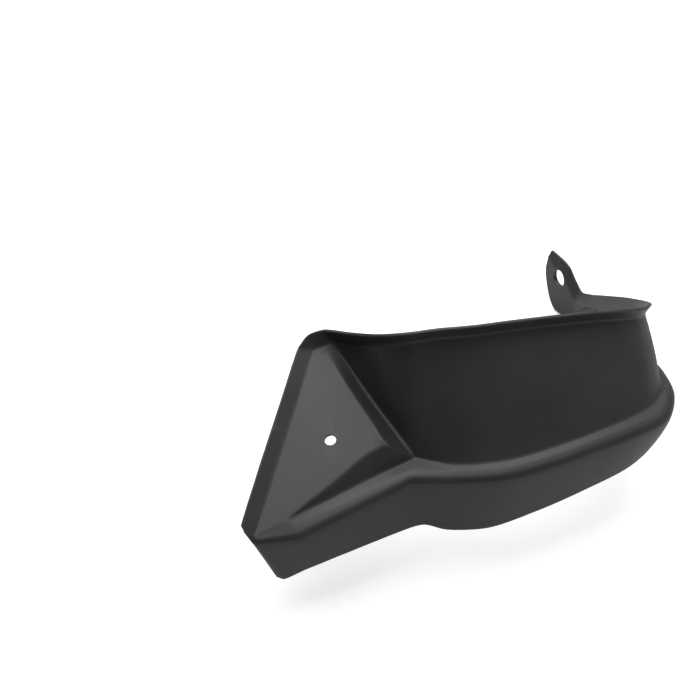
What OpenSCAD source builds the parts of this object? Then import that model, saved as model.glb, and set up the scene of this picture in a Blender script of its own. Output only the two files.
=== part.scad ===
// One-piece moulded hand guard for the left-hand end of a motorcycle handlebar.
// X runs along the bar and outwards, minus Y is forwards, Z is up as the guard stands.
// The origin is the middle of the bar-end hole, on the tab's mid-thickness.

/* [Overall size] */
// Bar-end hole to the inner end of the mounting plate, along the bar
span = 257; // [205:1:310]
// Bar-end hole to the front of the wall, forwards
reach = 150; // [120:1:182]
// Bar-end hole up to the highest point of the top edge
rise = 92; // [72:1:112]

/* [Shell] */
// Thickness of the moulding
wall_t = 2.6; // [2:0.1:3.4]
// Height of the flared lip along the top edge
lip_h = 6.8; // [4:0.1:8.4]
// How far the top of the lip leans outwards
lip_out = 2.2; // [1:0.1:4]
// Width of the shelf at the foot of the wall
shelf_w = 5; // [3.5:0.1:8]
// Rounding between the shelf and the skirt
shelf_r = 4.2; // [3:0.1:5.5]
// Width of the rim turned inwards under the arm
rim_w = 4.8; // [3:0.1:6]

/* [Mounting plate] */
// Depth of the step from the raised pad down to the shelf at the pad's corner
pad_step = 9.6; // [5:0.1:12]
// Width of the border turned up along the plate's outer side
border_w = 8; // [5:0.1:10]
// How far that border is turned up out of the pad, in degrees
border_tilt = 30; // [10:1:50]
// Diameter of the plate's screw hole
screw_d = 5.5; // [4.5:0.1:7]
// Place of the screw hole from the pad's top edge down towards the wall's corner, as a share
screw_up = 0.596; // [0.4:0.01:0.75]
// Place of the screw hole from the plate's lower tip towards the wall, as a share
screw_in = 0.72; // [0.5:0.01:0.85]

/* [Bar end] */
// Diameter of the bar-end hole
bar_hole_d = 11; // [8:0.1:14]

/* [Smoothness] */
// Columns drawn between two stations
fine = 3; // [2:1:4]

/* [Hidden] */
shell_colour = [0.09, 0.09, 0.09];
edge_t = 0.65;
kx = span / 257;
ky = reach / 150;
kz = rise / 92;

function size3(p) = [p[0] * kx, p[1] * ky, p[2] * kz];
function unit(v) = v / max(norm(v), 1e-9);
function mix(a, b, t) = a + (b - a) * t;
function clamp(t, lo, hi) = min(max(t, lo), hi);
function ease(t) = let (c = clamp(t, 0, 1)) c * c * (3 - 2 * c);

// The plate's corners, on the pad: top outer, top by the wall, wall, lower tip, inner low.
pad_top = [-193.2, -53, 62.4];
pad_peak = [-185.4, -56.3, 63.2];
pad_wall = [-182.8, -113.4, 47.6];
pad_end = [-252.4, -118.9, 29.8];
pad_low = [-238, -120.4, 32.7];
// Where the wall, the pad's facets and the shelf meet, and where that valley starts.
join_at = [-171, -117.2, 47.8 - pad_step];
valley_top = pad_peak + [0.9, -0.6, -0.5];
shelf_end = [-237.5, -126.8, 30.9];
shelf_join = [-177.6, -125.2, join_at[2]];

// Stations 0 to 10 cross the plate, 10 to 22 follow the wall and arm, 22 to 28 cross the tab.
top_line = [
    [-257.4, -118, 33.6], [-256.8, -115.9, 34.9], [-238, -94.5, 44.3], [-217, -70.5, 55.6],
    [-200, -51.5, 64.8], [-194.3, -47.4, 68.6], [-187.5, -50.4, 70.8], [-178, -64, 76.2],
    [-170, -80, 84.2], [-160.5, -89.6, 89.2], [-149, -94, 90.8], [-133, -97.8, 91],
    [-113, -101, 89.6], [-92, -104, 87], [-71, -106.4, 83.4], [-52, -107.6, 78.6],
    [-38.4, -106, 73.6], [-27.3, -99.6, 67.1], [-19.8, -88, 56.8], [-13.7, -70, 42.6],
    [-7.6, -48, 24.6], [-2.4, -31, 10.6]
];
foot_line = [
    join_at, [-157, -129.6, 39.4], [-136, -139.4, 42], [-112, -143, 43.2],
    [-88, -143.5, 43], [-65, -142.6, 41], [-46.8, -139.4, 38.6], [-34.6, -130.4, 37.2],
    [-26.3, -116.2, 33.4], [-18, -92.8, 25.6], [-10, -62, 17], [-3.2, -34, 5.6]
];
low_line = [
    [-245.2, -127.6, 0.4], [-239, -129, 0.6], [-232.5, -129.6, 1.2], [-225, -129.9, 2],
    [-218, -130.1, 2.8], [-212, -130.3, 3.4], [-206.5, -130.5, 4], [-201, -130.6, 4.6],
    [-195.5, -130.8, 5.2], [-186.5, -131, 6], [-176.5, -132, 6.2], [-164, -136.4, 1.8],
    [-142, -144, -1.4], [-117, -149.6, 5], [-92, -152, 12], [-64, -149.6, 15.6],
    [-41, -139, 14], [-26.5, -124, 8], [-18, -106, 0.8], [-12, -84.5, -6],
    [-5.8, -60, -10.6], [-0.8, -36, -16.4]
];
// The tab's outline: top edge, then bottom edge, each backwards from the hole and upwards.
tab_line = [
    [-18.5, 4.6, -19, -21.6], [-12, 7.8, -10, -24.4], [-5.3, 12.1, -2, -23.9],
    [0, 13, 4.6, -19.8], [5, 13.3, 9.4, -12.6], [8.8, 13.2, 12.4, -6.4], [11.8, 12.8, 13.9, -1.2]
];
plate_end = 10;
wall_end = 22;
last = len(top_line) + len(tab_line) - 1;
// Stations where the shell ends or turns a sharp corner.
sharp = [0, 1, 2, last];

// How far each line of the plate has run at stations 0 to 9, and the pad edge's bulge there.
border_run = [0, 0, 0.31, 0.66, 1];
ridge_run = [0, 0, 0, 0.2, 0.34, 0.46, 0.58, 0.72, 0.86, 0.98];
ridge_rise = [0, 0, 0, 0, 0.2, 0.7, 1.4, 2.3, 2.2, 0.4];
shelf_run = [0, 0, 0, 0.14, 0.25, 0.34, 0.43, 0.54, 0.66, 0.8];
outer_run = [0, 0, 0.03, 0.2, 0.36, 0.47, 0.58, 0.69, 0.79, 0.9];
valley_run = [0, 0, 0, 0, 0, 0, 0.02, 0.38, 0.68, 0.9];
pad_run = [0, 0, 0, 0, 0, 0, 0.02, 0.4, 0.72, 0.97];
spread = [0.2, 0.2, 0.2, 0.18, 0.1, 0.022];
lip_grow = [1, 1, 1, 1, 1, 1, 1, 1.35, 1.12];

// Speed of a curve where two chords meet. The shorter chord leads, so a long one stays flat.
function tangent(before, after) =
    let (long_b = max(norm(before), 1e-9), long_a = max(norm(after), 1e-9))
    (before / long_b * long_a + after / long_a * long_b) / (long_b + long_a) * min(long_b, long_a);

function is_sharp(i, j) = i == plate_end ? j > 3 && j < 8 : len([for (k = sharp) if (k == i) k]) > 0;

// Smooth curve through row j's points, u counts stations from 0. The facets meet at a sharp point.
function along(q, u, j) =
    let (i = clamp(floor(u), 0, len(q) - 2), t = u - i, chord = q[i + 1] - q[i])
    let (first = is_sharp(i, j) ? chord : tangent(q[i] - q[i - 1], chord))
    let (second = is_sharp(i + 1, j) ? chord : tangent(chord, q[i + 2] - q[i + 1]))
    q[i] + ease(t) * chord + t * (1 - t) * ((1 - t) * first - t * second);

function foot(i) = foot_line[clamp(i - plate_end, 0, len(foot_line) - 1)];
// Outward and level, square to the wall's foot.
function outward(i) =
    let (d = foot(i + 1) - foot(i - 1))
    i > 20 ? unit([1, -0.3 * (wall_end - i), 0]) : unit([d[1], -d[0], 0]);

// The plate's border leans out of the pad across its long edge and is turned up.
pad_side = unit(pad_top - pad_end);
pad_square = unit(cross(pad_wall - pad_end, pad_side));
border_way = cos(border_tilt) * unit(cross(pad_square, pad_side)) + sin(border_tilt) * pad_square;

function lip_edge(i) =
    i >= 2 && i < 4 ? mix(pad_end, pad_top, border_run[i]) + border_w * border_way
    : i < 6 ? top_line[i]
    : top_line[i] + edge_t * wall_t * outward(max(i, 11));
function lip_foot(i) =
    lip_edge(i) - (i < 9 ? lip_grow[i] : 1) * ([0, 0, lip_h] + lip_out * outward(max(i, 11)));

// Shelf's outer edge, rounded corner, skirt and rim, from point g outwards along o.
function skirt(g, o, low, r, rim) =
    let (top = g + r * o - [0, 0, r])
    [g, g + 0.7 * r * o - [0, 0, 0.3 * r], top, mix(top, low, 0.5) + 0.8 * o,
     mix(top, low, 0.88) + 0.3 * o, low, low + rim];

// The plate's lower outer edge is straight, from the border's tip down to the skirt.
end_run = [0, 0.05, 0.07, 0.09, 0.11, 0.13, 0.15, 0.17, 0.19, 0.22, 0.27, 0.6, 0.9, 1];
end_section = concat([for (t = end_run) mix(top_line[0], low_line[0], t)], [low_line[0] + [0, 0.9, 0]]);

// Foot of the border on the pad, and of the lip once the corner is passed.
function pad_edge(i) =
    i < 5 ? mix(pad_end, pad_top, border_run[i])
    : i == 5 ? mix(pad_top, pad_peak, 0.55) + [0.2, 1, 0.4]
    : i == 6 ? pad_peak + [1.2, 1.6, 1.6]
    : lip_foot(i);

pad_up = cross(pad_peak - pad_low, pad_wall - pad_low);
pad_inwards = unit(cross(pad_up, pad_low - pad_wall));

function plate_section(i) =
    let (b = pad_edge(i), o = unit([-0.8 * max(0, 1 - i / 2), -1, 0]))
    let (start = i == 1 ? mix(pad_end, shelf_end, 0.25) : mix(shelf_end, shelf_join, outer_run[i]))
    let (ridge = i == 1 ? mix(pad_end, start, 0.6)
        : mix(pad_low, pad_wall, ridge_run[i]) + ridge_rise[i] * pad_inwards)
    let (inner = i == 1 ? mix(pad_end, start, 0.8)
        : i == 2 ? mix(pad_low, shelf_end, 0.2) : mix(pad_low, join_at, shelf_run[i]))
    let (valley = mix(valley_top, join_at, valley_run[i]), edge = mix(pad_peak, pad_wall, pad_run[i]))
    let (pad = i < 6 ? [for (k = [1:4]) mix(b, ridge, spread[i] * k)]
        : [mix(b, valley, 0.35), mix(b, valley, 0.7), valley, edge])
    concat([lip_edge(i), b], pad, [ridge, inner], skirt(start, o, low_line[i], shelf_r, [0, 0.9, 0]));

shelf_tapers = [1, 0.84, 0.72, 0.62, 0.46, 0.22];
function wall_section(i) =
    let (f = foot(i), b = lip_foot(i), at_join = i == plate_end, taper = shelf_tapers[clamp(i - 16, 0, 5)])
    let (o = at_join ? unit([-0.35, -1, 0]) : outward(i), w = shelf_w * taper)
    let (g = at_join ? shelf_join : f + w * o - [0, 0, 0.12 * w])
    let (up = unit(b - f) * (at_join ? 0.5 : min(1.8, 0.3 * norm(b - f))))
    let (rim = mix([0, 0.9, 0], -rim_w * o - [0, 0, 1], ease((i - 13) / 6)))
    let (k = at_join ? [0.03, 0.07, 0.12] : [0.1, 0.4, 0.7])
    let (wall = [lip_edge(i), b, mix(b, f, 0.33) + 0.8 * o, mix(b, f, 0.66) + 0.8 * o, f + up])
    concat(wall, [for (t = k) mix(f, g, t)], skirt(g, o, low_line[i], shelf_r * taper, rim));

function tab_section(i) =
    let (p = tab_line[i - wall_end], a = [wall_t / 2, p[0], p[1]], z = [wall_t / 2, p[2], p[3]])
    let (deep = p[1] - p[3], b = mix(a, z, min(lip_h, 0.3 * deep) / deep))
    let (lean = [1.7 * (1 - 0.7 * ease((i - 25) / 3)), 0, 0])
    let (rim = mix([-3.6, 0, -1.2], [0, 0, -0.5], ease((i - 21) / 3)))
    concat([a + lean, b], [for (k = [1:11]) mix(b, z, k / 12)], [z, z + rim]);

function section(i) =
    i == 0 ? end_section
    : i < plate_end ? plate_section(i)
    : i < wall_end ? wall_section(i) : tab_section(i);
sections = [for (i = [0:last]) [for (p = section(i)) size3(p)]];
rows = len(sections[0]);
columns = last * fine + 1;
row_lists = [for (j = [0:rows - 1]) [for (s = sections) s[j]]];
outer = [for (c = [0:columns - 1]) [for (j = [0:rows - 1]) along(row_lists[j], c / fine, j)]];

// Way through the wall at a point, mitred where the face bends so that it keeps its thickness.
function through(c, j) =
    let (d = outer[min(c + 1, columns - 1)][j] - outer[max(c - 1, 0)][j], p = outer[c][j])
    let (before = j > 0 ? p - outer[c][j - 1] : outer[c][1] - p)
    let (after = j < rows - 1 ? outer[c][j + 1] - p : before)
    let (first = unit(cross(d, before)), middle = unit(first + unit(cross(d, after))))
    middle / clamp(middle * first, 0.8, 1);
inner_face = [
    for (c = [0:columns - 1])
        [for (j = [0:rows - 1]) outer[c][j] + wall_t * (j == 0 ? edge_t : 1) * through(c, j)]
];

// The faces of the shell: outer side, inner side, both long edges, then both ends.
function spot(side, c, j) = (side * columns + c) * rows + j;
function two(a, b, c, d) = [[a, c, b], [a, d, c]];
function patch(side, c, j) =
    [spot(side, c, j), spot(side, c, j + 1), spot(side, c + 1, j + 1), spot(side, c + 1, j)];
function edge_patch(c, j) = [spot(0, c, j), spot(0, c + 1, j), spot(1, c + 1, j), spot(1, c, j)];
function end_patch(c, j) = [spot(0, c, j), spot(1, c, j), spot(1, c, j + 1), spot(0, c, j + 1)];
function forwards(q) = two(q[0], q[1], q[2], q[3]);
function backwards(q) = two(q[0], q[3], q[2], q[1]);
shell_faces = [
    for (c = [0:columns - 2]) each forwards(edge_patch(c, 0)),
    for (c = [columns - 2:-1:0], j = [0:rows - 2]) each forwards(patch(0, c, j)),
    for (c = [0:columns - 2], j = [0:rows - 2]) each backwards(patch(1, c, j)),
    for (c = [0:columns - 2]) each backwards(edge_patch(c, rows - 1)),
    for (j = [0:rows - 2]) each forwards(end_patch(0, j)),
    for (j = [0:rows - 2]) each backwards(end_patch(columns - 1, j))
];

// The screw hole stands square to the pad, on its middle line.
pad_flat = unit(cross(size3(pad_wall) - size3(pad_end), size3(pad_top) - size3(pad_end)));
screw_at = mix(size3(pad_end), mix(size3(pad_top), size3(pad_wall), screw_up), screw_in);

// Round hole of diameter d through the shell, centred on a point and square to a direction.
module hole(at, dir, d) {
    tilt = acos(dir[2]);
    turn = atan2(dir[1], dir[0]);
    translate(at) rotate([0, tilt, turn]) cylinder(d = d, h = 6 * wall_t, center = true, $fn = 48);
}

module hand_guard() {
    color(shell_colour)
    difference() {
        polyhedron(points = concat([for (c = outer) each c], [for (c = inner_face) each c]),
            faces = shell_faces, convexity = 12);
        hole(screw_at, pad_flat, screw_d);
        hole([0, 0, 0], [1, 0, 0], bar_hole_d);
    }
}

hand_guard();
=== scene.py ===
"""Looks of a one-piece moulded hand guard: smooth shell, satin grained plastic, white studio."""

import math

import bpy
import numpy as np
from mathutils import Euler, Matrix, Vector


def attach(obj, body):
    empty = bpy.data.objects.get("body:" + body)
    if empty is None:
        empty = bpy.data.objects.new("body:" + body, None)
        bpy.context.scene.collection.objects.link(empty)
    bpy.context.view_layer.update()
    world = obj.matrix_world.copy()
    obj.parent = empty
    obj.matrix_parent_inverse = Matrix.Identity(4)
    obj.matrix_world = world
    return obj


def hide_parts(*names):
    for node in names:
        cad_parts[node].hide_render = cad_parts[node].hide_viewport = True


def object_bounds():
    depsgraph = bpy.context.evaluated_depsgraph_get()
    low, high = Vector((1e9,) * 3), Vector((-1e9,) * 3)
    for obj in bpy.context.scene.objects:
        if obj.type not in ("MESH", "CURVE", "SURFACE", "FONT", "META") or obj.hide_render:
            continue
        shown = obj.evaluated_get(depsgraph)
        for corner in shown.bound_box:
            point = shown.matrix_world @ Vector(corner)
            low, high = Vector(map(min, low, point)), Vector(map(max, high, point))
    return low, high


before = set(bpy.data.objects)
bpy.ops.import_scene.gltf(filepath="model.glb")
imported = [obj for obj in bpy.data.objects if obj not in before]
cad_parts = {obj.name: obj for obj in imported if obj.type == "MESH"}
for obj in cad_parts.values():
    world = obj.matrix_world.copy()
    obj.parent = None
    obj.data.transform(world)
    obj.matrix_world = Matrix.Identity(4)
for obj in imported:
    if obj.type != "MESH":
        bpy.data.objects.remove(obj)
cad_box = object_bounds()

MM = 0.001
# No length that something is divided by is less than this.
TINY = 1e-9
WHITE = (1, 1, 1, 1)
BLACK = (0, 0, 0, 1)

# Camera at the photograph's viewing angle: its place in metres, its turn in degrees, and its lens.
CAMERA_AT = (-0.336405, -0.375879, 0.398585)
CAMERA_TURN = (46.327, -0.8216, -25.979)
LENS = 51.39
SENSOR = 36
NEAREST = 0.01

# Ceiling light, in metres and watts.
CEILING_AT = (0.05, 0.45, 1.1)
CEILING_AIM = (0.05, 0.35, 0)
CEILING_SIZE = (1.7, 1.3)
CEILING_POWER = 30.0
CEILING_COLOUR = (1, 0.94, 0.955)

# The room's light on the plastic: the way to the camera's right, how far along that way the light
# changes, and how bright it is at each end.
ROOM_RIGHT = (0.9, -0.44, 0)
ROOM_SPAN = (-0.8, 0.9)
ROOM_BRIGHT = (0.0, 0.42)

# The floor, in metres, and the glow that the camera sees on it, near the object and away from it.
FLOOR_MIDDLE = (-0.13, -0.07)
FLOOR_SIZE = 8
FLOOR_GAP = 0.0005
FLOOR_COLOUR = (0.74, 0.79, 0.785, 1)
FLOOR_ROUGHNESS = 0.9
GLOW_SPAN = (0.25, 0.9)
GLOW = (0.45, 1.0)

# The plastic: large soft patches of tint and gloss, a fine grain in metres, and a painted highlight
# that makes convex edges paler.
DARK_TINT = (0.0120, 0.0117, 0.0118, 1)
LIGHT_TINT = (0.0180, 0.0175, 0.0177, 1)
EDGE_HIGHLIGHT_TINT = (0.045, 0.0435, 0.0435, 1)
TINT_SPAN = (0.3, 0.72)
EDGE_HIGHLIGHT_SPAN = (0.53, 0.66)
GLOSS = (0.46, 0.58)
PLASTIC_IOR = 1.5
PATCH = {"Scale": 42.0, "Detail": 4.0, "Roughness": 0.55}
GRAIN = {"Scale": 1500.0, "Detail": 3.0, "Roughness": 0.6}
GRAIN_BUMP = {"Strength": 0.35, "Distance": 0.00012}
# The Mix node has several sockets of one name. These are the ones that mix colours.
MIX_FIRST = 6
MIX_SECOND = 7
MIX_RESULT = 2

# Sizes of the shell in millimetres and degrees. Some differ a little from the part's own, because
# the render's outline follows the photograph's more closely. EDGE is the lip's thickness at its
# edge, and SHELF_FALL the shelf's slope, both as shares.
WALL = 2.6
EDGE = 0.65
LIP_HIGH = 6.8
LIP_OUT = 2.2
SHELF_WIDE = 4.2
SHELF_ROUND = 5
SHELF_FALL = 0.12
RIM_WIDE = 4.8
PAD_STEP = 9.6
BORDER_WIDE = 7.6
BORDER_TILT = 30
SCREW_D = 5.5
BAR_HOLE_D = 11
# The screw's place: a run from the pad's top corner to its wall corner, and then how much of the
# way from the lower tip to there.
SCREW_UP = 0.596
SCREW_IN = 0.72

# Stations 0 to 10 cross the plate, 10 to 22 follow the wall and arm, 22 to 28 cross the tab.
# TIP is the border's lower tip, and PEAK the first station past the pad's upper corner.
TIP = 2
BORDER_END = 4
PEAK = 6
PLATE_END = 10
ARM_END = 20
WALL_END = 22

# The plate's corners on the pad, and the points where its facets meet the wall and the shelf.
PAD_TOP = np.array([-193.2, -53, 62.4])
PAD_PEAK = np.array([-189.5, -55.9, 62.45])
PAD_WALL = np.array([-182.8, -113.4, 47.6])
PAD_END = np.array([-252.4, -118.9, 29.8])
PAD_LOW = np.array([-238, -120.4, 32.7])
JOIN = np.array([-171, -117.2, 47.8 - PAD_STEP])
VALLEY_TOP = np.array([-184.4, -57, 61])
SHELF_END = np.array([-237.5, -126, 30.9])
SHELF_JOIN = np.array([-177.4, -124.4, JOIN[2]])

# The lip's top edge, from station 0 to 21.
TOP_LINE = np.array([
    (-257.8, -118.2, 31.7), (-257.8, -116.1, 33.2), (-238, -94.5, 44.3), (-217, -70.5, 55.6),
    (-200.6, -51.5, 64.8), (-194.3, -49, 68.3), (-187.5, -50.4, 70.8), (-178, -64, 76.2),
    (-170, -80, 85.5), (-160.5, -88.6, 90.2), (-149, -92.1, 90.8), (-133, -97.4, 91),
    (-113, -101, 89.6), (-92, -104, 87), (-71, -106.4, 83.4), (-52, -107.6, 78.6),
    (-38.4, -106, 73.6), (-27.3, -99.6, 67.1), (-19.8, -88, 56.8), (-13.7, -70, 42.6),
    (-7.6, -48, 24.6), (-2.4, -31, 10.6),
])
# The wall's foot on the shelf, from station 10 to 21.
FOOT_LINE = np.array([
    JOIN, (-157, -129.6, 39.4), (-136, -139.4, 42), (-112, -143, 43.2),
    (-88, -143.5, 43), (-65.1, -141.6, 41.2), (-47.5, -137.5, 39.1), (-35.5, -129.6, 37.8),
    (-26.8, -116, 34), (-18, -92.8, 25.8), (-10, -62, 17), (-3.2, -34, 5.6),
])
# The skirt's lower edge, from station 0 to 21.
LOW_LINE = np.array([
    (-246.6, -127.1, 0.9), (-243.6, -128.2, -1.4), (-232.5, -129.6, 1.5), (-225, -129.9, 2),
    (-218, -130.1, 2.5), (-212, -130.3, 2.8), (-206.5, -130.5, 3.2), (-201, -130.6, 3.4),
    (-195.5, -130.8, 3.7), (-186.4, -131, 4), (-171.4, -132, 3.5), (-161.3, -136.4, -0.9),
    (-142.1, -144, -1.5), (-117.1, -149.6, 5.2), (-91.9, -152, 10.6), (-63, -149.6, 10.8),
    (-39.4, -139, 5.9), (-26, -124, 3.2), (-18, -106, -1.8), (-12, -84.5, -6.7),
    (-5.8, -60, -10.6), (-0.8, -36, -16.4),
])
# The tab's outline from station 22 on: a point of its top edge and one of its bottom edge, each as
# a distance backwards from the bar-end hole and one upwards.
TAB_LINE = [
    (-18.5, 2.2, -19, -21.6), (-10.7, 6.2, -10, -24.4), (-4, 10.5, -2, -23.9), (1, 11.3, 4.6, -19.8),
    (6, 11.6, 9.4, -12.6), (9.5, 12, 12.4, -6.4), (13.3, 11.9, 13.9, -1.2),
]
LAST = WALL_END + len(TAB_LINE) - 1
# The plate's slanting end below the border's tip: crease, shelf edge, rounding, top of the skirt.
END_LINE = np.array([
    (-256.6, -120.8, 29.5), (-256.2, -121.2, 28.6), (-255.7, -121.9, 27.4), (-254.8, -122.7, 25.5),
])
# The shelf's outer edge and its rounding just inside that end, and how far back the end's inner
# edge is set.
END_START = np.array([-252.5, -120.7, 29.2])
END_ROUND = 3.6
END_BACK = 2.2

# Stations where the shell ends or turns a sharp corner, and those where only some rows do: the
# pad's at its lower tip and by its upper corner, and the facets' where they meet the wall.
SHARP = (0, TIP, LAST)
SHARP_ROWS = {1: slice(1, 8), PEAK - 1: slice(2, 6), PLATE_END: slice(4, 8)}

# How far each line of the plate has run, from station 0 on: the border, the ridge between the pad
# and the shelf, and the shelf's inner and outer edges. RIDGE_RISE is in millimetres.
BORDER_RUN = [0, 0, 0.31, 0.66, 1]
RIDGE_RUN = [0, 0, 0, 0.2, 0.34, 0.46, 0.58, 0.72, 0.86, 0.98]
RIDGE_RISE = [0, 0, 0, 0, 0.2, 0.7, 1.4, 2.3, 2.2, 0.4]
SHELF_RUN = [0, 0, 0, 0.14, 0.25, 0.34, 0.43, 0.54, 0.66, 0.8]
OUTER_RUN = [0, 0, 0.03, 0.2, 0.36, 0.47, 0.58, 0.69, 0.79, 0.9]
# Space between the pad's rows from station 0 to 5, as a share of the way to the ridge.
SPREAD = [0.2, 0.2, 0.2, 0.18, 0.1, 0.022]
# How far the valley and the pad's edge beside it have run, from station 6 on.
VALLEY_RUN = [0.02, 0.38, 0.68, 0.9]
PAD_RUN = [0.02, 0.4, 0.72, 0.97]
# The border's foot where it rounds the pad's upper corner, at the two stations there, and how far
# the valley's top is lifted.
CORNER_RUN = 0.55
CORNER_SHIFT = np.array([0.2, 1, 0.4])
PEAK_SHIFT = np.array([0.2, 2.3, 3.4])
VALLEY_LIFT = np.array([0, 0, 1.6])

# How much bigger the lip is at the stations past the pad's upper corner.
LIP_GROW = {7: 1.35, 8: 1.12}
# The shelf's width from station 14 on, and its rounding from station 16 on, round the turn beside
# the arm.
WIDTH_START = 14
SHELF_TURN = [SHELF_WIDE, 5.2, 6, 4.3, 2.6, 1.6, 1.5, 0.9]
TAPER_START = 16
SHELF_TAPER = [1, 0.78, 0.58, 0.46, 0.4, 0.22]
# How the wall's lower rows lie: how far up the wall its foot is rounded, and the runs of the rows
# on the shelf. Where the plate joins the wall, they draw together.
FOOT_RISE = 1.8
FOOT_SHARE = 0.3
FOOT_RUNS = (0.1, 0.4, 0.7)
JOIN_RISE = 0.5
JOIN_RUNS = (0.03, 0.07, 0.12)
# How far the wall bulges outwards, and the skirt: there each share of its height has its own bulge.
WALL_BULGE = 0.8
SKIRT_BULGES = ((0.5, 0.8), (0.88, 0.3))
# The middle of a rounded corner, outwards and downwards, as shares of its radius.
CORNER_OUT = 0.7
CORNER_DOWN = 0.3
# The rim under the plate, and how it turns inwards along the wall, from one station to another.
PLATE_RIM = np.array([0, 0.9, 0])
RIM_DOWN = np.array([0, 0, 1])
RIM_TURN = (13, 19)
# Outward ways: how far the plate's leans at its lower end, and where it joins the wall, and how
# far the arm's still turns at each station before the tab.
END_LEAN = 0.8
JOIN_LEAN = 0.35
TAB_TURN = 0.3
# The tab's lip, and its rim, which fade from one station to another.
TAB_LIP_SHARE = 0.3
TAB_LEAN = 1.7
TAB_LEAN_LOST = 0.7
TAB_LEAN_TURN = (25, 28)
TAB_RIM = np.array([-3.6, 0, -1.2])
TAB_RIM_LAST = np.array([0, 0, -0.5])
TAB_RIM_TURN = (21, 24)

# Rows: how many run from the border's foot to the shelf's inner edge, on the pad, and down the
# tab. Then the shares of the way at which others lie: down the wall and into the valley, and on
# the shelf's inner side at the border's tip and just below it.
INNER_ROWS = 7
PAD_ROWS = 4
TAB_ROWS = 12
WALL_ROWS = (0.33, 0.66)
VALLEY_ROWS = (0.35, 0.7)
TIP_INNER = 0.2
END_ROWS = (0.6, 0.8)

# How far each corner of a section's outline may be rounded, in millimetres, from the lip's edge to
# the rim. A SOFT corner takes all the room that it has.
SOFT = 30.0
SKIRT_ROUNDS = [SOFT, SOFT, SOFT, SOFT, 1.2, 1.2]
PAD_ROUNDS = [0.6, 1.6, SOFT, SOFT, SOFT, SOFT, 2.0, 2.0, 2.0, *SKIRT_ROUNDS]
VALLEY_ROUNDS = [0.6, 1.4, SOFT, 4.0, 3.2, 1.8, 2.0, 2.0, 2.0, *SKIRT_ROUNDS]
JOIN_ROUNDS = [0.6, 1.4, SOFT, 2.0, 1.2, 1.0, 1.0, 1.0, 2.0, *SKIRT_ROUNDS]
WALL_ROUNDS = [0.6, 1.4, *[SOFT] * 11, 1.4, 1.2]

# How finely the shell is drawn: columns to a station, points to a rounded corner, the most of an
# edge that a corner takes, the least cosine of half a bend that the inner face follows, sides to
# a hole, its cutter's length in walls, and the angle in degrees from which an edge is sharp.
COLUMNS = 12
CORNER = 5
CORNER_SHARE = 0.47
LEAST_COSINE = 0.8
HOLE_SIDES = 64
HOLE_WALLS = 6
SHARP_ANGLE = 48


def unit(v):
    return v / max(np.linalg.norm(v), TINY)


def mix(a, b, t):
    return a + (b - a) * t


def clamp(t, low, high):
    return min(max(t, low), high)


def ease(i, turn):
    """0 up to a turn's first station, 1 from its last one, and smooth between them."""
    c = clamp((i - turn[0]) / (turn[1] - turn[0]), 0, 1)
    return c * c * (3 - 2 * c)


def vec(x, y, z):
    return np.array([x, y, z], float)


def lengths(v):
    return np.maximum(np.linalg.norm(v, axis=-1, keepdims=True), TINY)


def tangent(before, after):
    """Speed of a curve where two chords meet. The shorter chord leads, so a long one stays flat."""
    long_before = lengths(before)
    long_after = lengths(after)
    mean = before / long_before * long_after + after / long_after * long_before
    return mean / (long_before + long_after) * np.minimum(long_before, long_after)


def speed(q, i, chord):
    """The rows' speed at station i: along the chord alone where they turn a sharp corner."""
    if i in SHARP:
        return chord
    made = tangent(q[i] - q[i - 1], q[i + 1] - q[i])
    if i in SHARP_ROWS:
        rows = SHARP_ROWS[i]
        made[rows] = chord[rows]
    return made


def along(q, u):
    """Smooth curve through a list of points, u counts stations from 0."""
    i = clamp(int(math.floor(u)), 0, len(q) - 2)
    t = u - i
    chord = q[i + 1] - q[i]
    first = speed(q, i, chord)
    second = speed(q, i + 1, chord)
    s = t * t * (3 - 2 * t)
    return q[i] + s * chord + t * (1 - t) * ((1 - t) * first - t * second)


def foot(i):
    return FOOT_LINE[clamp(i - PLATE_END, 0, len(FOOT_LINE) - 1)]


def outward(i):
    """Outward and level, square to the wall's foot, then turning to the tab's outer side."""
    if i > ARM_END:
        return unit(vec(1, -TAB_TURN * (WALL_END - i), 0))
    d = foot(i + 1) - foot(i - 1)
    return unit(vec(d[1], -d[0], 0))


def border_way():
    """The way the plate's border leans: out of the pad across its long edge, turned up."""
    edge = unit(PAD_TOP - PAD_END)
    square = unit(np.cross(edge, PAD_WALL - PAD_END))
    square = square if square[2] > 0 else -square
    out = unit(np.cross(square, edge))
    tilt = math.radians(BORDER_TILT)
    return math.cos(tilt) * out + math.sin(tilt) * square


def lip_edge(i):
    """Outer edge of the plate's border, and of the lip once the pad's corner is passed."""
    if TIP <= i < BORDER_END:
        return mix(PAD_END, PAD_TOP, BORDER_RUN[i]) + BORDER_WIDE * border_way()
    if i < PEAK:
        return TOP_LINE[i]
    return TOP_LINE[i] + EDGE * WALL * outward(max(i, PLATE_END + 1))


def lip_foot(i):
    reach = vec(0, 0, LIP_HIGH) + LIP_OUT * outward(max(i, PLATE_END + 1))
    return lip_edge(i) - LIP_GROW.get(i, 1) * reach


def skirt(g, o, low, r, rim):
    """Shelf's outer edge, rounded corner, skirt and rim, from point g outwards along o."""
    top = g + r * o - vec(0, 0, r)
    corner = g + CORNER_OUT * r * o - vec(0, 0, CORNER_DOWN * r)
    side = [mix(top, low, share) + bulge * o for share, bulge in SKIRT_BULGES]
    return [g, corner, top, *side, low, low + rim]


def end_section():
    """The plate's slanting lower end, from the border's tip down to the skirt."""
    crease, edge, middle, top = END_LINE
    low = LOW_LINE[0]
    inner = [mix(crease, edge, k / INNER_ROWS) for k in range(INNER_ROWS)]
    side = [mix(top, low, share) for share, _ in SKIRT_BULGES]
    return [TOP_LINE[0], *inner, edge, middle, top, *side, low, low + PLATE_RIM]


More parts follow.
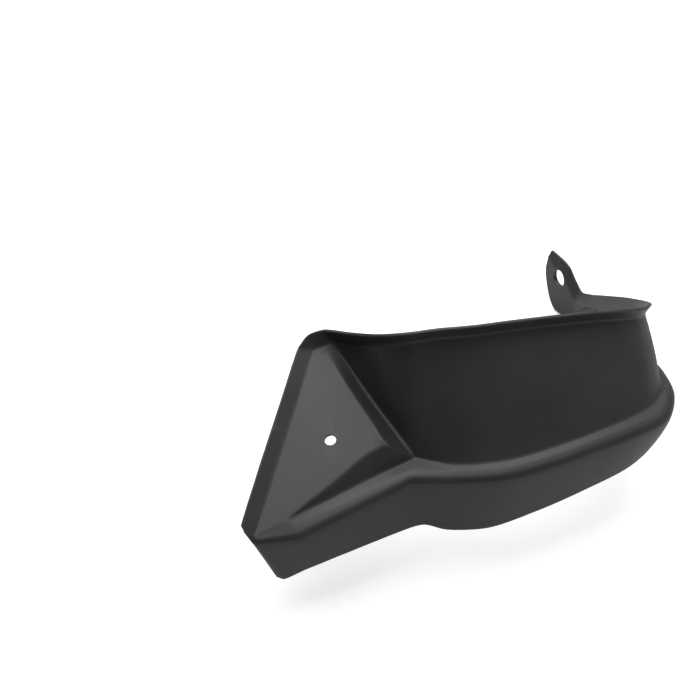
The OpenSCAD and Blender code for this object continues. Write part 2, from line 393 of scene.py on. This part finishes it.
def pad_edge(i):
    """Foot of the border on the pad, and of the lip once the corner is passed."""
    if i < PEAK - 1:
        return mix(PAD_END, PAD_TOP, BORDER_RUN[i])
    if i < PEAK:
        return mix(PAD_TOP, PAD_PEAK, CORNER_RUN) + CORNER_SHIFT
    return VALLEY_TOP + PEAK_SHIFT if i == PEAK else lip_foot(i)


def pad_rows(i, b, ridge):
    """Rows from the border's foot to the ridge: on the pad, then down the valley to its edge."""
    if i < PEAK:
        return [mix(b, ridge, SPREAD[i] * n) for n in range(1, PAD_ROWS + 1)]
    valley = mix(VALLEY_TOP, JOIN, VALLEY_RUN[i - PEAK])
    if i == PEAK:
        valley = valley + VALLEY_LIFT
    edge = mix(PAD_PEAK, PAD_WALL, PAD_RUN[i - PEAK])
    return [*[mix(b, valley, share) for share in VALLEY_ROWS], valley, edge]


def plate_section(i):
    """Border or lip, pad, ridge, shelf and skirt. The rows draw together at the lower tip."""
    if i == 0:
        return end_section()
    b = pad_edge(i)
    across = unit(np.cross(np.cross(PAD_PEAK - PAD_LOW, PAD_WALL - PAD_LOW), PAD_LOW - PAD_WALL))
    ridge = mix(PAD_LOW, PAD_WALL, RIDGE_RUN[i]) + RIDGE_RISE[i] * across
    inner = mix(PAD_LOW, JOIN, SHELF_RUN[i])
    start = mix(SHELF_END, SHELF_JOIN, OUTER_RUN[i])
    radius = SHELF_ROUND
    if i == TIP:
        inner = mix(PAD_LOW, SHELF_END, TIP_INNER)
    if i < TIP:
        start = END_START
        ridge, inner = [mix(PAD_END, start, share) for share in END_ROWS]
        radius = END_ROUND
    o = unit(vec(-END_LEAN * max(0, 1 - i / TIP), -1, 0))
    rest = skirt(start, o, LOW_LINE[i], radius, PLATE_RIM)
    return [lip_edge(i), b, *pad_rows(i, b, ridge), ridge, inner, *rest]


def wall_section(i):
    """Lip, wall, rounded foot, shelf and skirt, with the rim turning in under the arm."""
    joined = i == PLATE_END
    f = foot(i)
    o = unit(vec(-JOIN_LEAN, -1, 0)) if joined else outward(i)
    b = lip_foot(i)
    w = SHELF_TURN[clamp(i - WIDTH_START, 0, len(SHELF_TURN) - 1)]
    g = SHELF_JOIN if joined else f + w * o - vec(0, 0, SHELF_FALL * w)
    rise = JOIN_RISE if joined else min(FOOT_RISE, FOOT_SHARE * np.linalg.norm(b - f))
    rim = mix(PLATE_RIM, -RIM_WIDE * o - RIM_DOWN, ease(i, RIM_TURN))
    wall = [mix(b, f, share) + WALL_BULGE * o for share in WALL_ROWS]
    shelf = [mix(f, g, run) for run in (JOIN_RUNS if joined else FOOT_RUNS)]
    radius = SHELF_ROUND * SHELF_TAPER[clamp(i - TAPER_START, 0, len(SHELF_TAPER) - 1)]
    rest = skirt(g, o, LOW_LINE[i], radius, rim)
    return [lip_edge(i), b, *wall, f + unit(b - f) * rise, *shelf, *rest]


def tab_section(i):
    """The flat tab, from its leaning top edge down to the rim along its bottom edge."""
    back, top, low_back, bottom = TAB_LINE[i - WALL_END]
    a = vec(WALL / 2, back, top)
    z = vec(WALL / 2, low_back, bottom)
    b = mix(a, z, min(LIP_HIGH, TAB_LIP_SHARE * (top - bottom)) / (top - bottom))
    lean = vec(TAB_LEAN * (1 - TAB_LEAN_LOST * ease(i, TAB_LEAN_TURN)), 0, 0)
    rim = mix(TAB_RIM, TAB_RIM_LAST, ease(i, TAB_RIM_TURN))
    return [a + lean, b, *[mix(b, z, k / TAB_ROWS) for k in range(1, TAB_ROWS)], z, z + rim]


def section(i):
    if i < PLATE_END:
        return plate_section(i)
    return wall_section(i) if i < WALL_END else tab_section(i)


def rounding(i):
    if i < PEAK:
        return PAD_ROUNDS
    if i < PLATE_END:
        return VALLEY_ROUNDS
    return JOIN_ROUNDS if i == PLATE_END else WALL_ROUNDS


def outer_grid():
    """The outer face's points, one row of the array for each column of the shell."""
    stations = range(LAST + 1)
    sections = np.array([section(i) for i in stations])
    rounds = np.array([rounding(i) for i in stations])
    runs = np.linspace(0, LAST, LAST * COLUMNS + 1)
    grid = np.array([along(sections, u) for u in runs])
    caps = np.array([[np.interp(u, stations, row) for row in rounds.T] for u in runs])
    return grid, caps


def inner_grid(grid):
    """The inner face, a wall's thickness behind the outer one, measured square to it."""
    down = np.gradient(grid, axis=0)
    # The plate's slanting end is cut across it, so its columns take the way of the ones beside them.
    beside = COLUMNS + 2
    down[:beside] = down[beside]
    step = np.diff(grid, axis=1)
    before = np.concatenate([step[:, :1], step], axis=1)
    after = np.concatenate([step, step[:, -1:]], axis=1)
    first = np.cross(down, before)
    second = np.cross(down, after)
    first /= lengths(first)
    second /= lengths(second)
    middle = first + second
    middle /= lengths(middle)
    mitre = 1 / np.clip((middle * first).sum(-1, keepdims=True), LEAST_COSINE, 1)
    thick = np.full(grid.shape[1], WALL)
    thick[0] = WALL * EDGE
    # The slanting end's inner edge is set back from its outer one.
    back = END_BACK * np.maximum(0, 1 - np.arange(len(grid)) / beside)
    return grid + thick[None, :, None] * mitre * middle + back[:, None, None] * down / lengths(down)


def rounded_loops(loops, caps):
    """Each corner of every closed outline becomes a short curve of CORNER points."""
    before = np.roll(loops, 1, axis=1) - loops
    after = np.roll(loops, -1, axis=1) - loops
    long_before = lengths(before)
    long_after = lengths(after)
    caps = caps[..., None]
    start = loops + before / long_before * np.minimum(caps, CORNER_SHARE * long_before)
    end = loops + after / long_after * np.minimum(caps, CORNER_SHARE * long_after)
    out = []
    for t in np.linspace(0, 1, CORNER):
        out.append((1 - t) ** 2 * start + 2 * t * (1 - t) * loops + t ** 2 * end)
    made = np.stack(out, axis=2)
    return made.reshape(loops.shape[0], -1, 3)


def shell_mesh():
    """The outer and inner faces as one closed mesh, with a cap at the plate's end and the tab's."""
    grid, caps = outer_grid()
    inner = inner_grid(grid)
    loops = np.concatenate([grid, inner[:, ::-1]], axis=1)
    both = np.concatenate([caps, caps[:, ::-1]], axis=1)
    loops = rounded_loops(loops, both)
    columns, around, _ = loops.shape
    points = loops.reshape(-1, 3) * MM
    faces = []
    for c in range(columns - 1):
        for k in range(around):
            n = (k + 1) % around
            faces.append((c * around + k, (c + 1) * around + k, (c + 1) * around + n, c * around + n))
    for c in (0, columns - 1):
        for k in range(around // 2 - 1):
            quad = [c * around + m for m in (k, k + 1, around - 2 - k, around - 1 - k)]
            faces.append(quad if c == 0 else quad[::-1])
    mesh = bpy.data.meshes.new("hand_guard_shell")
    mesh.from_pydata([tuple(p) for p in points], [], faces)
    mesh.validate()
    mesh.update()
    return mesh


def cut_hole(shell, at, direction, diameter):
    """Cuts a round hole through the shell, centred on a point and square to a direction."""
    depth = HOLE_WALLS * WALL * MM
    bpy.ops.mesh.primitive_cylinder_add(vertices=HOLE_SIDES, radius=diameter / 2, depth=depth)
    tool = bpy.context.active_object
    tool.rotation_mode = "QUATERNION"
    tool.rotation_quaternion = Vector(direction).to_track_quat("Z", "Y")
    tool.location = at
    cut = shell.modifiers.new("hole", "BOOLEAN")
    cut.object = tool
    cut.operation = "DIFFERENCE"
    cut.solver = "EXACT"
    bpy.context.view_layer.objects.active = shell
    bpy.ops.object.modifier_apply(modifier=cut.name)
    bpy.data.objects.remove(tool, do_unlink=True)


def build_shell():
    """The guard: its shell, with the screw hole in the pad and the bar-end hole at the origin."""
    mesh = shell_mesh()
    shell = bpy.data.objects.new("guard_shell", mesh)
    bpy.context.scene.collection.objects.link(shell)
    pad_normal = unit(np.cross(PAD_END - PAD_TOP, PAD_WALL - PAD_TOP))
    screw_at = mix(PAD_END, mix(PAD_TOP, PAD_WALL, SCREW_UP), SCREW_IN)
    cut_hole(shell, Vector(screw_at) * MM, pad_normal, SCREW_D * MM)
    cut_hole(shell, Vector((0, 0, 0)), (1, 0, 0), BAR_HOLE_D * MM)
    for polygon in shell.data.polygons:
        polygon.use_smooth = True
    shell.data.set_sharp_from_angle(angle=math.radians(SHARP_ANGLE))
    level = shell.modifiers.new("level", "WEIGHTED_NORMAL")
    level.keep_sharp = True
    bpy.ops.object.modifier_apply(modifier=level.name)
    shell.data.materials.clear()
    shell.data.materials.append(shell_plastic())
    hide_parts("hand_guard")
    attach(shell, "root")


def node(tree, kind, **values):
    """A new node, with each value set on its socket of that name, or else on the node."""
    made = tree.nodes.new(kind)
    for name, value in values.items():
        if name in made.inputs:
            made.inputs[name].default_value = value
        else:
            setattr(made, name, value)
    return made


def graded(tree, value, span, result):
    """A number that runs from one result to the other while a value runs over its span."""
    ends = {"From Min": span[0], "From Max": span[1], "To Min": result[0], "To Max": result[1]}
    made = node(tree, "ShaderNodeMapRange", **ends)
    tree.links.new(value, made.inputs["Value"])
    return made.outputs["Result"]


def shaded(tree, value, span, low, high):
    """A colour that runs from low to high while a value runs over its span."""
    made = node(tree, "ShaderNodeValToRGB")
    first, last = made.color_ramp.elements
    first.position, last.position = span
    first.color = low
    last.color = high
    tree.links.new(value, made.inputs["Fac"])
    return made.outputs["Color"]


def camera_pick(tree, seen, unseen, output):
    """What the camera sees, and what every other ray meets, joined in a tree's output."""
    path = node(tree, "ShaderNodeLightPath")
    pick = node(tree, "ShaderNodeMixShader")
    tree.links.new(path.outputs["Is Camera Ray"], pick.inputs["Fac"])
    tree.links.new(unseen, pick.inputs[1])
    tree.links.new(seen, pick.inputs[2])
    tree.links.new(pick.outputs[0], tree.nodes[output].inputs["Surface"])


def shell_plastic():
    """Satin black moulded plastic: fine grain, slightly uneven gloss, and a painted highlight that
    makes convex edges paler.
    """
    made = bpy.data.materials.new("satin_plastic")
    made.use_nodes = True
    tree = made.node_tree
    link = tree.links.new
    shader = tree.nodes["Principled BSDF"]
    shader.inputs["IOR"].default_value = PLASTIC_IOR
    place = node(tree, "ShaderNodeTexCoord")
    grain = node(tree, "ShaderNodeTexNoise", **GRAIN)
    patch = node(tree, "ShaderNodeTexNoise", **PATCH)
    link(place.outputs["Object"], grain.inputs["Vector"])
    link(place.outputs["Object"], patch.inputs["Vector"])
    tint = shaded(tree, patch.outputs["Fac"], TINT_SPAN, DARK_TINT, LIGHT_TINT)
    shape = node(tree, "ShaderNodeNewGeometry")
    # Painted highlight: convex edges, found by their pointiness, take a paler colour.
    edge_highlight = shaded(tree, shape.outputs["Pointiness"], EDGE_HIGHLIGHT_SPAN, BLACK, WHITE)
    highlighted = node(tree, "ShaderNodeMix", data_type="RGBA")
    link(edge_highlight, highlighted.inputs["Factor"])
    link(tint, highlighted.inputs[MIX_FIRST])
    highlighted.inputs[MIX_SECOND].default_value = EDGE_HIGHLIGHT_TINT
    link(highlighted.outputs[MIX_RESULT], shader.inputs["Base Color"])
    link(graded(tree, patch.outputs["Fac"], (0, 1), GLOSS), shader.inputs["Roughness"])
    bump = node(tree, "ShaderNodeBump", **GRAIN_BUMP)
    link(grain.outputs["Fac"], bump.inputs["Height"])
    link(bump.outputs["Normal"], shader.inputs["Normal"])
    return made


def white_floor():
    """A pale floor that the camera sees as white, with the object's soft shadow on it."""
    middle = (*FLOOR_MIDDLE, cad_box[0][2] - FLOOR_GAP)
    bpy.ops.mesh.primitive_plane_add(size=FLOOR_SIZE, location=middle)
    floor = bpy.context.active_object
    floor.name = "floor"
    made = bpy.data.materials.new("pale_floor")
    made.use_nodes = True
    tree = made.node_tree
    link = tree.links.new
    pale = tree.nodes["Principled BSDF"]
    pale.inputs["Base Color"].default_value = FLOOR_COLOUR
    pale.inputs["Roughness"].default_value = FLOOR_ROUGHNESS
    # Away from the object the floor grows to full white, so that no horizon shows.
    place = node(tree, "ShaderNodeTexCoord")
    away = node(tree, "ShaderNodeVectorMath", operation="LENGTH")
    link(place.outputs["Object"], away.inputs[0])
    bright = node(tree, "ShaderNodeEmission")
    link(graded(tree, away.outputs["Value"], GLOW_SPAN, GLOW), bright.inputs["Strength"])
    both = node(tree, "ShaderNodeAddShader")
    link(pale.outputs[0], both.inputs[0])
    link(bright.outputs[0], both.inputs[1])
    camera_pick(tree, both.outputs[0], pale.outputs[0], "Material Output")
    floor.data.materials.append(made)


def ceiling_light():
    data = bpy.data.lights.new("ceiling", "AREA")
    data.shape = "RECTANGLE"
    data.size, data.size_y = CEILING_SIZE
    data.energy = CEILING_POWER
    data.color = CEILING_COLOUR
    lamp = bpy.data.objects.new("ceiling", data)
    lamp.location = CEILING_AT
    lamp.rotation_mode = "QUATERNION"
    lamp.rotation_quaternion = (Vector(CEILING_AIM) - Vector(CEILING_AT)).to_track_quat("-Z", "Y")
    bpy.context.scene.collection.objects.link(lamp)


def room_light():
    """A white room for the camera, whose light is dim on its left and grows to its right."""
    world = bpy.data.worlds.new("studio")
    bpy.context.scene.world = world
    world.use_nodes = True
    tree = world.node_tree
    link = tree.links.new
    seen = tree.nodes["Background"]
    seen.inputs["Color"].default_value = WHITE
    seen.inputs["Strength"].default_value = 1.0
    way = node(tree, "ShaderNodeTexCoord")
    aside = node(tree, "ShaderNodeVectorMath", operation="DOT_PRODUCT")
    aside.inputs[1].default_value = ROOM_RIGHT
    link(way.outputs["Generated"], aside.inputs[0])
    fill = node(tree, "ShaderNodeBackground", Color=WHITE)
    link(graded(tree, aside.outputs["Value"], ROOM_SPAN, ROOM_BRIGHT), fill.inputs["Strength"])
    camera_pick(tree, seen.outputs[0], fill.outputs[0], "World Output")


def add_camera():
    data = bpy.data.cameras.new("camera")
    data.lens = LENS
    data.sensor_width = SENSOR
    data.clip_start = NEAREST
    camera = bpy.data.objects.new("camera", data)
    camera.location = CAMERA_AT
    camera.rotation_euler = Euler([math.radians(a) for a in CAMERA_TURN], "XYZ")
    bpy.context.scene.collection.objects.link(camera)
    bpy.context.scene.camera = camera


bpy.context.scene.view_settings.view_transform = "Standard"
add_camera()
white_floor()
ceiling_light()
room_light()
build_shell()

bpy.context.view_layer.update()
